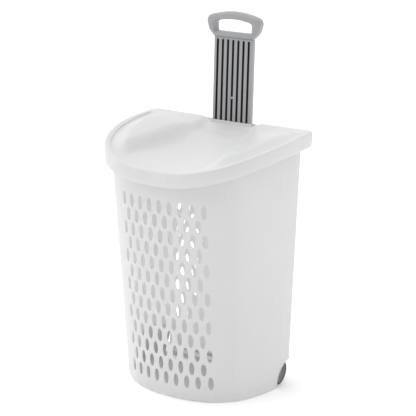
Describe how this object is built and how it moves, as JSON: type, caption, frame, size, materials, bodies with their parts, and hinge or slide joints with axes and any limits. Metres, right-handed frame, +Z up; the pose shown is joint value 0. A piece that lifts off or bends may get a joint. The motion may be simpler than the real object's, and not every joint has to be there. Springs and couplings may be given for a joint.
{
  "type": "wheeled laundry hamper",
  "caption": "D-shaped perforated plastic hamper with a hinged saddle lid, a sliding ribbed pull handle at the back and wheels in its rear corners.",
  "frame": {"origin": "on the floor, under the middle of the basket's flat underside", "axes": "+Z up, -Y to the rounded perforated front, +X to the right as seen from the front"},
  "size_m": [0.4898, 0.3891, 0.9367],
  "materials": {
    "white_shell": "satin moulded polypropylene",
    "white_lid": "satin moulded polypropylene",
    "grey_handle": "satin moulded polypropylene",
    "light_stud": "satin",
    "steel": "zinc plated",
    "wheel_grey": "turned rings, satin",
    "wheel_tread": "matt"
  },
  "bodies": {
    "basket_body": {"basket": "white_shell", "handle_guide": "white_shell", "guide_screws": "steel", "hinge_pin_left": "steel", "hinge_pin_right": "steel", "axle": "steel", "axle_cap_left": "wheel_grey", "axle_cap_right": "wheel_grey"},
    "lid_body": {"lid": "white_lid"},
    "handle": {"handle_panel": "grey_handle", "handle_grip": "grey_handle", "grip_screws": "steel", "detent_stud": "light_stud"},
    "wheel_left": {"wheel_left_hub": "wheel_grey", "wheel_left_tyre": "wheel_tread"},
    "wheel_right": {"wheel_right_hub": "wheel_grey", "wheel_right_tyre": "wheel_tread"}
  },
  "joints": [
    {"name": "lid_hinge", "type": "hinge", "parent": "basket_body", "child": "lid_body", "pos_m": [0, 0.166, 0.647], "axis": [-1, 0, 0], "range_deg": [0, 88]},
    {"name": "handle_slide", "type": "slide", "parent": "basket_body", "child": "handle", "axis": [0, 0.0454, 0.999], "range_m": [-0.205, 0]},
    {"name": "wheel_left_spin", "type": "hinge", "parent": "basket_body", "child": "wheel_left", "pos_m": [-0.192, 0.088, 0.0362], "axis": [1, 0, 0], "continuous": true},
    {"name": "wheel_right_spin", "type": "hinge", "parent": "basket_body", "child": "wheel_right", "pos_m": [0.192, 0.088, 0.0362], "axis": [1, 0, 0], "continuous": true}
  ]
}
